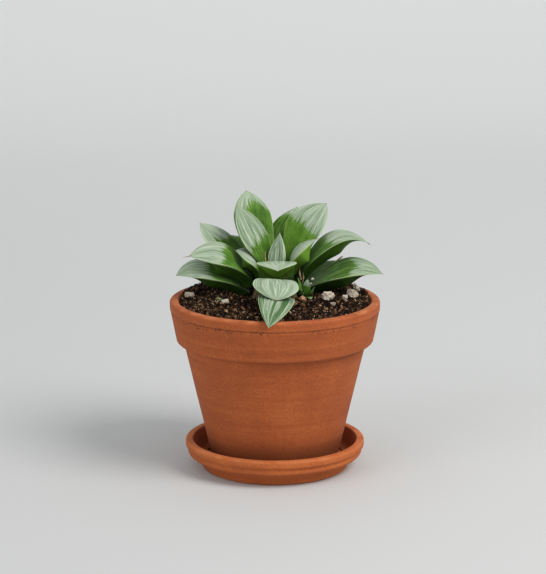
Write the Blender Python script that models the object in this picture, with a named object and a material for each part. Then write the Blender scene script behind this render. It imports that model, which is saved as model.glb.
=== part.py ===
"""Potted haworthia: a succulent rosette in a clay pot that stands on a clay saucer.

Metres, +Z up. The origin is the middle of the saucer's flat underside, and -Y is the front.
Each object is one separate piece: saucer, pot, soil, stem, leaves, offset leaves and pumice stones.
"""

import math

import bmesh
import bpy
from mathutils import Matrix, Vector

MM = 0.001

# Driving dimensions
RIM_RADIUS = 0.0550
POT_HEIGHT = 0.0856
POT_FOOT_RADIUS = 0.0333
POT_NECK_RADIUS = 0.0478
COLLAR_HEIGHT = 0.0223
POT_WALL = 0.0045
POT_FLOOR = 0.0055
DRAIN_RADIUS = 0.0065
SAUCER_RADIUS = 0.0472
SAUCER_FOOT_RADIUS = 0.0388
SAUCER_HEIGHT = 0.0148
SAUCER_FLOOR = 0.0038
GAP = 0.0003

# Heights that follow from them
POT_FOOT_Z = SAUCER_FLOOR + GAP
RIM_Z = POT_FOOT_Z + POT_HEIGHT
COLLAR_Z = RIM_Z - COLLAR_HEIGHT

TURN_STEPS = 72

CLAY = (0.45, 0.13, 0.045)
SOIL_BROWN = (0.035, 0.018, 0.010)
PUMICE_GREY = (0.55, 0.50, 0.43)
LEAF_GREEN = (0.10, 0.24, 0.05)
STEM_GREEN = (0.20, 0.28, 0.08)

# The rosette's leaves, in millimetres and degrees:
# name: (azimuth, turn, base radius, base height, tip radius, tip height,
#        rise, fall, bend, half width, thickness, roll, widest, base share, keel, point)
# Azimuth runs counter-clockwise from +X, and turn is how far the tip swings sideways from it.
# Heights are above the pot's rim. Rise and fall are the slopes of the leaf at its base and at its tip,
# bend is how long it keeps them, roll tips its face sideways, widest is where along it is widest,
# base share is the width it keeps at its base, keel is how far across the keel under it stands
# from the middle, as a share of the half width, and point is how sharply it narrows to its tip.
LEAVES = {
    "leaf_01": (182, -4, 13, 3.6, 51.5, 12, 42, -38, 0.43, 9.2, 7.4, -40, 0.46, 0.42, 0.4, 0.85),
    "leaf_02": (276, -9, 13, 3, 61.5, -1.1, 28, -28, 0.33, 9.3, 3.4, -26, 0.34, 0.42, 0, 1.1),
    "leaf_03": (360, 2, 13, 4, 56, 13, 34, -31, 0.48, 11.0, 8.0, 27, 0.47, 0.42, -0.4, 0.85),
    "leaf_04": (124, 0, 13, 6, 43, 27, 45, 8, 0.42, 8.0, 4.5, 0, 0.60, 0.42, 0, 0.85),
    "leaf_05": (62, 0, 13, 4, 46, 11, 30, -12, 0.40, 9.0, 5.0, 0, 0.62, 0.42, 0, 0.85),
    "leaf_06": (189, -6, 10, 8, 44.5, 23.2, 55.5, -17, 0.54, 10.3, 9.2, -42, 0.47, 0.40, 0.45, 0.85),
    "leaf_07": (271, 0, 11, 9.0, 36, 7.2, 46, -52, 0.54, 11.8, 4.0, -10, 0.70, 0.42, 0, 0.80),
    "leaf_08": (4, 8, 10, 10, 50, 27.5, 57, -39, 0.54, 10.2, 8.4, 10, 0.50, 0.42, -0.2, 0.85),
    "leaf_09": (151.5, 0, 11, 8.3, 45, 35.9, 50, 32, 0.40, 9.4, 3.4, -19, 0.60, 0.37, 0, 0.85),
    "leaf_10": (118, 4, 10, 10.5, 28.5, 53, 62, 64, 0.34, 11.6, 4.8, 0, 0.63, 0.50, 0, 0.85),
    "leaf_11": (96, -24, 11.5, 8, 38.6, 42.0, 60, 28, 0.42, 8.2, 4.2, 0, 0.60, 0.42, 0, 0.85),
    "leaf_12": (51, -12, 9, 10, 35, 46.5, 64, 20, 0.48, 12.5, 5.0, 18, 0.58, 0.40, 0, 0.85),
    "leaf_13": (177, -2, 7.0, 12, 20.6, 25.4, 77, 8, 0.50, 9.4, 6.0, -15, 0.50, 0.52, 0.4, 1.0),
    "leaf_14": (276, -2, 6.5, 12, 20.5, 19.0, 89, -20, 0.80, 10.4, 7.5, 0, 0.64, 0.86, 0, 1.4),
    "leaf_15": (350, 14, 6.5, 14, 22.3, 31.5, 78, 20, 0.50, 7.8, 7.4, 5, 0.46, 0.58, -0.4, 1.0),
    "leaf_16": (139, 9, 4.8, 14.3, 23, 46.8, 72, 56, 0.38, 10.0, 4.0, -20, 0.42, 0.50, 0, 0.85),
    "leaf_17": (75, -8, 2, 16.3, 6.4, 34.2, 80, 84, 0.33, 5.0, 2.4, 0, 0.22, 0.42, 0, 1.3),
    "leaf_18": (97, 0, 13, 4, 46, 13, 35, -10, 0.40, 9.0, 5.0, 0, 0.62, 0.42, 0, 0.85),
    "leaf_19": (33, 0, 13, 3.2, 39, 16, 32, 8, 0.40, 7.0, 4.2, 0, 0.60, 0.42, 0, 0.85),
}

# The offset, a young plant beside the stem: its middle, then its leaves by the same measures
OFFSET_PLACE = Vector((15.5, -12.5, 0.0)) * MM
OFFSET_LEAVES = {
    "offset_leaf_01": (156, 0, 1.7, 3.4, 4.0, 13.5, 80, 60, 0.40, 1.6, 1.0, 0, 0.40, 0.42, 0, 0.85),
    "offset_leaf_02": (62, 0, 1.6, 3.4, 3.0, 12.5, 82, 60, 0.40, 2.2, 1.2, 0, 0.45, 0.42, 0, 0.85),
    "offset_leaf_03": (352, 0, 1.6, 3.4, 5.2, 9.0, 65, 35, 0.40, 2.2, 1.2, 0, 0.45, 0.42, 0, 0.85),
    "offset_leaf_04": (294, 0, 2.0, 3.4, 7.5, 4.2, 45, -30, 0.45, 1.9, 1.1, 0, 0.45, 0.42, 0, 0.85),
    "offset_leaf_05": (222, 0, 1.6, 3.4, 4.4, 8.5, 65, 30, 0.40, 2.0, 1.1, 0, 0.45, 0.42, 0, 0.85),
}

# Pumice stones lying on the soil: (x, y, half length, half width, half height, turned by), mm and degrees
STONES = {
    "stone_01": (26.8, -15.5, 3.2, 2.7, 3.1, 25),
    "stone_02": (36.5, -9.0, 1.4, 1.3, 1.7, 70),
    "stone_03": (40.5, -1.5, 2.8, 2.1, 2.3, 10),
    "stone_04": (43.0, 17.0, 2.0, 1.8, 2.7, 50),
    "stone_05": (30.0, -22.5, 1.3, 1.1, 1.2, 0),
    "stone_06": (-45.2, 0.5, 2.6, 1.9, 2.1, 160),
    "stone_07": (-25.2, -22.0, 2.1, 1.5, 1.8, 35),
}

# The stem's outside, (radius, height above the rim) in millimetres
STEM_OUTLINE = ((12.2, -4.0), (12.0, 1.0), (10.6, 5.0), (8.2, 9.0), (6.0, 12.0), (4.0, 13.6), (0.0, 15.4))

# Shape that every leaf shares
LEAF_RINGS = 12
RING_ACROSS = (-1.0, -0.5, 0.0, 0.5, 1.0)


def plain_look(name, colour, roughness):
    """A plain material with the piece's own colour."""
    material = bpy.data.materials.new(name)
    material.use_nodes = True
    shader = material.node_tree.nodes["Principled BSDF"]
    shader.inputs["Base Color"].default_value = (*colour, 1.0)
    shader.inputs["Roughness"].default_value = roughness
    shader.inputs["Metallic"].default_value = 0.0
    return material


def add_piece(name, bm, material, smooth_angle=40.0):
    """Turns a bmesh into a named object with outward faces, shaded smooth up to an angle."""
    bmesh.ops.recalc_face_normals(bm, faces=bm.faces)
    mesh = bpy.data.meshes.new(name)
    bm.to_mesh(mesh)
    bm.free()
    mesh.shade_smooth()
    mesh.set_sharp_from_angle(angle=math.radians(smooth_angle))
    mesh.materials.append(material)
    piece = bpy.data.objects.new(name, mesh)
    bpy.context.scene.collection.objects.link(piece)
    return piece


def arc(centre, radius, start, end, steps):
    """Points (r, z) on an arc, from one angle in degrees to another."""
    points = []
    for i in range(steps + 1):
        angle = math.radians(start + (end - start) * i / steps)
        points.append((centre[0] + radius * math.cos(angle), centre[1] + radius * math.sin(angle)))
    return points


def turned(outline, closed, steps=TURN_STEPS):
    """A bmesh turned round Z from an outline of (r, z) points. A closed outline goes round a ring."""
    bm = bmesh.new()
    verts = [bm.verts.new((r, 0.0, z)) for r, z in outline]
    pairs = list(zip(verts, verts[1:]))
    if closed:
        pairs.append((verts[-1], verts[0]))
    edges = [bm.edges.new(pair) for pair in pairs]
    bmesh.ops.spin(
        bm, geom=verts + edges, cent=(0, 0, 0), axis=(0, 0, 1), angle=2 * math.pi, steps=steps, use_merge=True
    )
    bmesh.ops.remove_doubles(bm, verts=bm.verts, dist=1e-6)
    return bm


def saucer(material):
    """A shallow clay dish: flat foot, a bead and a band outside, and a flat rim."""
    foot, rim, top = SAUCER_FOOT_RADIUS, SAUCER_RADIUS, SAUCER_HEIGHT
    outline = [(0.0, 0.0), (foot - 0.8 * MM, 0.0), (foot, 0.6 * MM)]
    outline += [(foot + 1.9 * MM, 5.6 * MM)]
    outline += [(rim - 3.4 * MM, 6.5 * MM), (rim - 1.6 * MM, 8.2 * MM), (rim - 0.9 * MM, 9.7 * MM)]
    outline += [(rim - 0.9 * MM, 10.6 * MM), (rim - 0.2 * MM, 11.2 * MM)]
    outline += arc((rim - 0.9 * MM, top - 0.9 * MM), 0.9 * MM, 0, 90, 3)
    outline += arc((rim - 3.5 * MM, top - 0.6 * MM), 0.6 * MM, 90, 180, 2)
    outline += [(foot + 1.2 * MM, SAUCER_FLOOR + 1.4 * MM), (foot - 0.8 * MM, SAUCER_FLOOR)]
    outline += [(0.0, SAUCER_FLOOR)]
    return add_piece("saucer", turned(outline, closed=False), material)


def pot_outer(z):
    """Radius of the pot's plain outside wall at a height."""
    share = (z - POT_FOOT_Z) / (COLLAR_Z - POT_FOOT_Z)
    return POT_FOOT_RADIUS + (POT_NECK_RADIUS - POT_FOOT_RADIUS) * share


def pot_inner(z):
    """Radius of the pot's inside wall at a height, up to the rim."""
    low = POT_FOOT_Z + POT_FLOOR
    low_radius = pot_outer(low) - POT_WALL
    return low_radius + (RIM_RADIUS - 4.7 * MM - low_radius) * (z - low) / (RIM_Z - low)


def pot(material):
    """The tapered clay pot: a collar round its mouth and a drain hole through its floor."""
    floor_z = POT_FOOT_Z + POT_FLOOR
    rim = RIM_RADIUS
    outline = [(DRAIN_RADIUS, POT_FOOT_Z), (POT_FOOT_RADIUS - 1.0 * MM, POT_FOOT_Z)]
    outline += [(POT_FOOT_RADIUS, POT_FOOT_Z + 1.0 * MM), (pot_outer(COLLAR_Z), COLLAR_Z)]
    outline += [(rim - 5.6 * MM, COLLAR_Z + 0.4 * MM), (rim - 3.6 * MM, COLLAR_Z + 1.9 * MM)]
    outline += [(rim - 2.8 * MM, COLLAR_Z + 4.2 * MM), (rim, RIM_Z - 5.2 * MM)]
    outline += arc((rim - 1.4 * MM, RIM_Z - 1.0 * MM), 1.0 * MM, 0, 90, 3)
    outline += arc((rim - 3.7 * MM, RIM_Z - 1.0 * MM), 1.0 * MM, 90, 180, 3)
    outline += [(pot_inner(floor_z + 2.0 * MM), floor_z + 2.0 * MM), (pot_inner(floor_z) - 2.0 * MM, floor_z)]
    outline += [(DRAIN_RADIUS, floor_z)]
    return add_piece("pot", turned(outline, closed=True), material)


def stem(material):
    """The short stout stem that every leaf springs from: a dome that stands in the soil's hollow."""
    outline = [(0.0, RIM_Z - 4.0 * MM)]
    outline += [(r * MM, RIM_Z + h * MM) for r, h in STEM_OUTLINE]
    return add_piece("stem", turned(outline, closed=False, steps=24), material)


def soil_height(r):
    """Height of the mounded soil above the rim at a radius, both in millimetres."""
    marks = ((19.0, 1.6), (26.0, 1.8), (34.0, 1.1), (41.0, 0.0), (49.0, -2.2), (60.0, -2.2))
    for (r0, h0), (r1, h1) in zip(marks, marks[1:]):
        if r0 <= r < r1:
            return h0 + (h1 - h0) * (r - r0) / (r1 - r0)
    return marks[0][1]


def soil(material):
    """The potting soil: it fills the pot, mounds up round the crown and leaves a hollow for the stem."""
    floor_z = POT_FOOT_Z + POT_FLOOR + GAP
    pocket = STEM_OUTLINE[0][0] * MM + 0.4 * MM
    edge_z = RIM_Z + soil_height(49.0) * MM
    outline = [(0.0, floor_z), (pot_inner(floor_z) - 2.6 * MM, floor_z)]
    outline += [(pot_inner(floor_z + 2.0 * MM) - 2 * GAP, floor_z + 2.0 * MM)]
    outline += [(pot_inner(edge_z) - 2 * GAP, edge_z)]
    outline += [(r * MM, RIM_Z + soil_height(r) * MM) for r in (41.0, 34.0, 26.0, 19.0)]
    outline += [(16.0 * MM, RIM_Z - 0.8 * MM), (pocket, RIM_Z - 1.0 * MM)]
    outline += [(pocket, RIM_Z - 4.3 * MM), (0.0, RIM_Z - 4.3 * MM)]
    return add_piece("soil", turned(outline, closed=False), material)


def stone(name, sizes, material):
    """A rough pumice stone lying flat on the soil: a squashed ball with dented sides."""
    x, y, long, wide, high, turn = sizes
    r = math.hypot(x, y)
    lowest = max(soil_height(r - long), soil_height(r + long)) + 0.4
    bm = bmesh.new()
    bmesh.ops.create_icosphere(bm, subdivisions=2, radius=1.0)
    spin = Matrix.Rotation(math.radians(turn), 3, "Z")
    for vert in bm.verts:
        p = vert.co
        bumps = math.sin(4.1 * p.x + 2.3 * p.y + x) * math.cos(3.7 * p.z + 2.9 * p.y + y)
        dent = 1.0 - 0.065 * (1.0 + bumps)
        p = spin @ Vector((p.x * long, p.y * wide, p.z * high)) * dent
        vert.co = (Vector((x, y, lowest + high)) + p) * MM + Vector((0, 0, RIM_Z))
    return add_piece(name, bm, material, smooth_angle=25.0)


def leaf_half_width(t, widest, base_share, point):
    """Half width along the leaf, as a share of its widest, from base (0) to tip (1)."""
    if t < widest:
        s = t / widest
        return base_share + (1.0 - base_share) * s * s * (3.0 - 2.0 * s)
    s = (t - widest) / (1.0 - widest)
    return (1.0 - s * s) ** point


def leaf_keel(t, widest):
    """Depth of the keel under the leaf, as a share of its thickest."""
    if t < widest:
        s = t / widest
        return 0.55 + 0.45 * s * s * (3.0 - 2.0 * s)
    return math.cos(0.5 * math.pi * (t - widest) / (1.0 - widest)) ** 2


def bezier(points, t):
    """Place and direction at t on a cubic curve."""
    a, b, c, d = points
    u = 1.0 - t
    place = a * u**3 + b * (3 * u * u * t) + c * (3 * u * t * t) + d * t**3
    along = (b - a) * (3 * u * u) + (c - b) * (6 * u * t) + (d - c) * (3 * t * t)
    return place, along.normalized()


def direction(azimuth, slope):
    """Unit vector at an azimuth and a slope above the horizon, in degrees."""
    a, s = math.radians(azimuth), math.radians(slope)
    return Vector((math.cos(a) * math.cos(s), math.sin(a) * math.cos(s), math.sin(s)))


def leaf(name, sizes, material, centre=Vector((0.0, 0.0, RIM_Z))):
    """A thick leaf: a channelled upper face, sharp margins and a keel below, along a curved midline."""
    azimuth, turn, base_r, base_z, tip_r, tip_z, rise, fall, bend = sizes[:9]
    half_width, thickness, roll, widest, base_share, keel, point = sizes[9:]
    base = centre + (direction(azimuth, 0) * base_r + Vector((0, 0, base_z))) * MM
    tip = centre + (direction(azimuth + turn, 0) * tip_r + Vector((0, 0, tip_z))) * MM
    reach = (tip - base).length
    curve = (
        base,
        base + direction(azimuth, rise) * reach * bend,
        tip - direction(azimuth + turn, fall) * reach * bend * 0.8,
        tip,
    )
    bm = bmesh.new()
    rings = []
    level = Vector((-math.sin(math.radians(azimuth + turn)), math.cos(math.radians(azimuth + turn)), 0.0))
    for i in range(LEAF_RINGS):
        t = 0.985 * i / (LEAF_RINGS - 1)
        place, along = bezier(curve, t)
        side = (level - along * level.dot(along)).normalized()
        up = along.cross(side)
        tilt = Matrix.Rotation(math.radians(roll) * t, 3, along)
        side, up = tilt @ side, tilt @ up
        wide = half_width * MM * leaf_half_width(t, widest, base_share, point)
        deep = thickness * MM * leaf_keel(t, widest)
        channel = 0.10 * wide * (1.0 - t)
        ring = []
        for v in RING_ACROSS:
            lift = -channel * (1.0 - v * v) + (0.12 * deep if abs(v) < 1 else 0.0)
            ring.append(bm.verts.new(place + side * wide * v + up * lift))
        for v in reversed(RING_ACROSS[1:-1]):
            from_keel = abs(v - keel) / (1.0 + keel if v < keel else 1.0 - keel)
            ring.append(bm.verts.new(place + side * wide * v - up * deep * (1.0 - from_keel**1.4)))
        rings.append(ring)
    for ring, following in zip(rings, rings[1:]):
        for j in range(len(ring)):
            k = (j + 1) % len(ring)
            bm.faces.new((ring[j], ring[k], following[k], following[j]))
    bm.faces.new(rings[0])
    end = bm.verts.new(tip)
    last = rings[-1]
    for j in range(len(last)):
        bm.faces.new((last[j], last[(j + 1) % len(last)], end))
    return add_piece(name, bm, material, smooth_angle=60.0)


def main():
    for obj in list(bpy.data.objects):
        bpy.data.objects.remove(obj)
    clay = plain_look("clay", CLAY, 0.85)
    saucer(clay)
    pot(clay)
    soil(plain_look("soil", SOIL_BROWN, 0.95))
    stem(plain_look("stem", STEM_GREEN, 0.6))
    green = plain_look("leaf", LEAF_GREEN, 0.45)
    for name, sizes in LEAVES.items():
        leaf(name, sizes, green)
    for name, sizes in OFFSET_LEAVES.items():
        leaf(name, sizes, green, centre=Vector((0.0, 0.0, RIM_Z)) + OFFSET_PLACE)
    pumice = plain_look("pumice", PUMICE_GREY, 0.9)
    for name, sizes in STONES.items():
        stone(name, sizes, pumice)


main()
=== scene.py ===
"""Looks for the potted haworthia: a variegated succulent in a clay pot on a clay saucer.

Metres, +Z up, -Y towards the front, and the origin is the middle of the saucer's underside.
"""

import math

import bmesh
import bpy
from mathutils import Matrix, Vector, noise


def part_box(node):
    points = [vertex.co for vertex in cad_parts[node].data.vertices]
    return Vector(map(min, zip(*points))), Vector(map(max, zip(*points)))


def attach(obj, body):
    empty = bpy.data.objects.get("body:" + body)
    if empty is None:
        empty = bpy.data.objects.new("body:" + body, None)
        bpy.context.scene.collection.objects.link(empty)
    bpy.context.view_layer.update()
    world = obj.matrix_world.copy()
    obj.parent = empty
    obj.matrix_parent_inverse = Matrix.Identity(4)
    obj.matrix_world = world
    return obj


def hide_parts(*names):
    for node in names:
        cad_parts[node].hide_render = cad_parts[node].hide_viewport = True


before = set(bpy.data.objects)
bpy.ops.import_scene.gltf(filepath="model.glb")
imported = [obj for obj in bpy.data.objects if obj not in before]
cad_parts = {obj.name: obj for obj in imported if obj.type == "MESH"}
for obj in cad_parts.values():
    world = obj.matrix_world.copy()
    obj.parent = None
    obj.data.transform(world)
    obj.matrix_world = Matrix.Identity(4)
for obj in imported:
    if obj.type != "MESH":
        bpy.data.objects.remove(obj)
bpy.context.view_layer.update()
MM = 0.001


# ---------------------------------------------------------------- Saucer
# A shallow dish of unglazed red clay, pressed in a mould and fired without glaze. It stands flat on
# its foot, has one rounded bead and a plain band outside, and carries the pot on its floor.

SAUCER_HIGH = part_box("saucer")[1]
SAUCER_RADIUS = SAUCER_HIGH.x
SAUCER_TOP = SAUCER_HIGH.z
SAUCER_FOOT = SAUCER_RADIUS - 8.4 * MM
SAUCER_FLOOR = 3.8 * MM
SAUCER_FACETS = 240
SAUCER_WOBBLE = 0.10 * MM
SAUCER_SPECKS = 0.10
PALE_RIM_CLAY = (0.660, 0.250, 0.095)


class Figure:
    """A number or a direction in a node tree, so that a formula can be written out as one."""

    def __init__(self, tree, socket):
        self.tree = tree
        self.socket = socket

    def step(self, operation, *others):
        """One Math or Vector Math node, whichever fits what goes in."""
        parts = [self, *others]
        vector = any(is_direction(part) for part in parts)
        node = self.tree.nodes.new("ShaderNodeVectorMath" if vector else "ShaderNodeMath")
        both = all(is_direction(part) for part in parts)
        if vector and operation == "MULTIPLY" and not both:
            operation = "SCALE"
            if not is_direction(parts[0]):
                parts.reverse()
        node.operation = operation
        sockets = [node.inputs[0], node.inputs[3]] if operation == "SCALE" else list(node.inputs)
        for part, socket in zip(parts, sockets):
            plug(part, socket)
        return Figure(self.tree, node.outputs[1 if operation in ("DOT_PRODUCT", "LENGTH") else 0])

    def is_vector(self):
        return self.socket.type in ("VECTOR", "RGBA")

    def __add__(self, other):
        return self.step("ADD", other)

    def __sub__(self, other):
        return self.step("SUBTRACT", other)

    def __rsub__(self, other):
        return self.step("MULTIPLY", -1.0).step("ADD", other)

    def __mul__(self, other):
        return self.step("MULTIPLY", other)

    def __truediv__(self, other):
        return self.step("DIVIDE", other)

    def __pow__(self, other):
        return self.step("POWER", other)

    __radd__ = __add__
    __rmul__ = __mul__

    def clamp(self, low=0.0, high=1.0):
        return self.step("MAXIMUM", low).step("MINIMUM", high)

    def ramp(self, low, high):
        """Rises smoothly from 0 to 1 as the number goes from low to high."""
        node = self.tree.nodes.new("ShaderNodeMapRange")
        node.interpolation_type = "SMOOTHSTEP"
        for name, value in (("Value", self), ("From Min", low), ("From Max", high)):
            plug(value, node.inputs[name])
        return Figure(self.tree, node.outputs["Result"])

    def blend(self, start, end):
        """Start where this is 0, end where it is 1."""
        return start + self * (end - start)


def is_direction(part):
    return isinstance(part, Vector) or (isinstance(part, Figure) and part.is_vector())


def plug(part, socket):
    """Links a figure to a socket, or sets the socket to a plain value."""
    if isinstance(part, Figure):
        part.tree.links.new(part.socket, socket)
    else:
        socket.default_value = part


def joined(tree, x, y, z):
    """Three numbers as one vector."""
    node = tree.nodes.new("ShaderNodeCombineXYZ")
    for part, socket in zip((x, y, z), node.inputs):
        plug(part, socket)
    return Figure(tree, node.outputs[0])


def split(figure):
    """A vector's three numbers."""
    node = figure.tree.nodes.new("ShaderNodeSeparateXYZ")
    plug(figure, node.inputs[0])
    return [Figure(figure.tree, socket) for socket in node.outputs]


def cloud(where, scale=1.0, detail=2.0, roughness=0.5):
    """Smooth noise from 0 to 1 round 0.5, read at a vector."""
    node = where.tree.nodes.new("ShaderNodeTexNoise")
    values = {"Vector": where, "Scale": scale, "Detail": detail, "Roughness": roughness}
    for label, value in values.items():
        plug(value, node.inputs[label])
    return Figure(where.tree, node.outputs[0])


def cells(where, scale):
    """Distance to the nearest of many scattered points, and a random colour for each point."""
    node = where.tree.nodes.new("ShaderNodeTexVoronoi")
    plug(where, node.inputs["Vector"])
    plug(scale, node.inputs["Scale"])
    return Figure(where.tree, node.outputs["Distance"]), Figure(where.tree, node.outputs["Color"])


def tones(share, *stops):
    """A colour ramp over (place, colour) stops, read at a number."""
    node = share.tree.nodes.new("ShaderNodeValToRGB")
    plug(share, node.inputs[0])
    ramp = node.color_ramp
    while len(ramp.elements) < len(stops):
        ramp.elements.new(0.5)
    for element, (place, colour) in zip(ramp.elements, stops):
        element.position = place
        element.color = (*colour, 1.0)
    return Figure(share.tree, node.outputs[0])


def mixed(share, first, second):
    """Two colours mixed by a share from 0 to 1."""
    node = share.tree.nodes.new("ShaderNodeMix")
    node.data_type = "RGBA"
    plug(share, node.inputs[0])
    for part, socket in ((first, node.inputs[6]), (second, node.inputs[7])):
        plug(part if isinstance(part, Figure) else (*part, 1.0), socket)
    return Figure(share.tree, node.outputs[2])


def new_group(name, kind, takes, gives):
    """An empty node group whose sockets, going in and coming out, are each given as name: type."""
    group = bpy.data.node_groups.new(name, kind)
    for way, sockets in (("INPUT", takes), ("OUTPUT", gives)):
        for label, sort in sockets.items():
            group.interface.new_socket(name=label, in_out=way, socket_type="NodeSocket" + sort)
    return group, group.nodes.new("NodeGroupInput"), group.nodes.new("NodeGroupOutput")


def new_look(name, specular, roughness=0.5):
    """A material, its tree, its shader, and the piece's own coordinates."""
    material = bpy.data.materials.new(name)
    material.use_nodes = True
    tree = material.node_tree
    shader = tree.nodes["Principled BSDF"]
    shader.inputs["Roughness"].default_value = roughness
    shader.inputs["Specular IOR Level"].default_value = specular
    place = Figure(tree, tree.nodes.new("ShaderNodeTexCoord").outputs["Object"])
    return material, tree, shader, place


def raise_surface(tree, shader, height, distance, strength):
    """A fine relief in the surface's shading, from a height between 0 and 1."""
    bump = tree.nodes.new("ShaderNodeBump")
    for label, value in (("Strength", strength), ("Distance", distance), ("Height", height)):
        plug(value, bump.inputs[label])
    tree.links.new(bump.outputs[0], shader.inputs["Normal"])


def clay_group():
    """Unglazed fired clay: mottled colour, turning marks, dark iron specks, pale grit and pits."""
    group, inside, outside = new_group(
        "fired_clay",
        "ShaderNodeTree",
        {"Place": "Vector", "Specks": "Float"},
        {"Color": "Color", "Roughness": "Float", "Height": "Float"},
    )
    place = Figure(group, inside.outputs["Place"])
    specks = Figure(group, inside.outputs["Specks"])
    mottle = cloud(place, 38.0, 4.0, 0.6)
    grain = cloud(place, 900.0, 3.0, 0.65)
    bands = cloud(place * Vector((14.0, 14.0, 420.0)), 1.0, 3.0, 0.55)
    colour = tones(
        mottle * 0.35 + grain * 0.4 + bands * 0.25,
        (0.30, (0.225, 0.045, 0.010)),
        (0.50, (0.345, 0.079, 0.018)),
        (0.72, (0.470, 0.133, 0.037)),
    )
    far, tint = cells(place, 430.0)
    fleck = (0.16 - far).ramp(0.0, 0.05) * split(tint)[0].step("LESS_THAN", specks)
    colour = mixed(fleck * 0.85, colour, (0.060, 0.020, 0.010))
    far_pale, tint_pale = cells(place + Vector((3.0, 1.0, 2.0)), 620.0)
    pale = (0.20 - far_pale).ramp(0.0, 0.08) * split(tint_pale)[1].step("LESS_THAN", 0.025)
    colour = mixed(pale * 0.5, colour, (0.66, 0.34, 0.18))
    height = grain * 0.5 + bands * 0.35 + cloud(place, 260.0, 2.0) * 0.3 - fleck * 0.6
    rough = 0.72 + mottle * 0.18
    for result, socket in ((colour, "Color"), (rough, "Roughness"), (height, "Height")):
        plug(result, outside.inputs[socket])
    return group


FIRED_CLAY = clay_group()


def clay_look(name, specks, marks):
    """A clay material from the shared group, whose colour then takes the piece's own marks."""
    material, tree, shader, place = new_look(name, specular=0.35)
    clay = tree.nodes.new("ShaderNodeGroup")
    clay.node_tree = FIRED_CLAY
    plug(specks, clay.inputs["Specks"])
    plug(place, clay.inputs["Place"])
    colour, rough, height = (Figure(tree, socket) for socket in clay.outputs)
    plug(marks(place, colour), shader.inputs["Base Color"])
    plug(rough, shader.inputs["Roughness"])
    raise_surface(tree, shader, height, 0.25 * MM, 0.55)
    return material


WAVES_ROUND = 1.3
WAVES_UP = 60.0


def lathe(name, outline, steps, material, wobble):
    """A closed form turned round Z from (r, z) points, with soft unevenness like a moulded pot."""
    bm = bmesh.new()
    rings = []
    for r, z in outline:
        if r < 1e-7:
            rings.append([bm.verts.new((0.0, 0.0, z))])
            continue
        ring = []
        for i in range(steps):
            turn = 2.0 * math.pi * i / steps
            x, y = math.cos(turn), math.sin(turn)
            out = r + wobble * noise.noise(Vector((x * WAVES_ROUND, y * WAVES_ROUND, z * WAVES_UP)))
            ring.append(bm.verts.new((out * x, out * y, z)))
        rings.append(ring)
    for lower, upper in zip(rings, rings[1:] + ([] if len(rings[0]) == 1 else [rings[0]])):
        for i in range(steps):
            j = (i + 1) % steps
            if len(lower) == 1:
                bm.faces.new((lower[0], upper[j], upper[i]))
            elif len(upper) == 1:
                bm.faces.new((lower[i], lower[j], upper[0]))
            else:
                bm.faces.new((lower[i], lower[j], upper[j], upper[i]))
    bmesh.ops.recalc_face_normals(bm, faces=bm.faces)
    return add_piece(name, bm, material)


SHARP_EDGE = 55.0


def add_piece(name, bm, material, sharp=SHARP_EDGE):
    """A bmesh made into an object at the origin, shaded smooth up to an angle."""
    mesh = bpy.data.meshes.new(name)
    bm.to_mesh(mesh)
    bm.free()
    mesh.shade_smooth()
    mesh.set_sharp_from_angle(angle=math.radians(sharp))
    mesh.materials.append(material)
    piece = bpy.data.objects.new(name, mesh)
    bpy.context.scene.collection.objects.link(piece)
    return piece


def arc(centre, radius, start, end, steps):
    """(r, z) points on an arc between two angles in degrees."""
    points = []
    for i in range(steps + 1):
        angle = math.radians(start + (end - start) * i / steps)
        points.append((centre[0] + radius * math.cos(angle), centre[1] + radius * math.sin(angle)))
    return points


def smooth_outline(points, gap=0.9 * MM):
    """The same outline with points no further apart than the gap."""
    out = []
    for (r0, z0), (r1, z1) in zip(points, points[1:]):
        parts = max(1, math.ceil(math.hypot(r1 - r0, z1 - z0) / gap))
        out += [(r0 + (r1 - r0) * i / parts, z0 + (z1 - z0) * i / parts) for i in range(parts)]
    return out + [points[-1]]


def saucer_outline():
    """The dish's section, from under its middle out, up, over the rim and back to the middle."""
    foot, rim, top = SAUCER_FOOT, SAUCER_RADIUS, SAUCER_TOP
    points = [(0.0, 0.0), (foot - 0.9 * MM, 0.0)]
    points += arc((foot - 0.9 * MM, 0.7 * MM), 0.7 * MM, -80, -15, 4)
    points += [(foot + 0.3 * MM, 2.0 * MM), (foot + 1.7 * MM, 5.4 * MM)]
    points += [(foot + 2.3 * MM, 6.0 * MM), (rim - 3.6 * MM, 6.5 * MM)]
    points += arc((rim - 3.3 * MM, 8.6 * MM), 2.1 * MM, -70, 20, 7)
    points += [(rim - 1.15 * MM, 10.1 * MM), (rim - 1.0 * MM, 10.5 * MM), (rim - 0.5 * MM, 10.8 * MM)]
    points += [(rim - 0.12 * MM, 11.3 * MM), (rim, 12.2 * MM)]
    points += arc((rim - 1.1 * MM, top - 1.1 * MM), 1.1 * MM, 0, 90, 6)
    points += arc((rim - 3.3 * MM, top - 0.8 * MM), 0.8 * MM, 90, 180, 5)
    points += [(foot + 2.0 * MM, SAUCER_FLOOR + 2.6 * MM), (foot + 0.9 * MM, SAUCER_FLOOR + 0.9 * MM)]
    points += [(foot - 0.9 * MM, SAUCER_FLOOR), (0.0, SAUCER_FLOOR)]
    return smooth_outline(points)


def saucer_marks(place, colour):
    """The same clay made brighter than the pot's, and paler towards the top of its rim."""
    z = split(place)[2]
    paler_top = z.ramp(SAUCER_TOP - 2.5 * MM, SAUCER_TOP) * cloud(place, 110.0, 3.0).ramp(0.3, 0.7)
    return mixed(paler_top * 0.35, colour * Vector((1.16, 1.20, 1.10)), PALE_RIM_CLAY)


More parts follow.
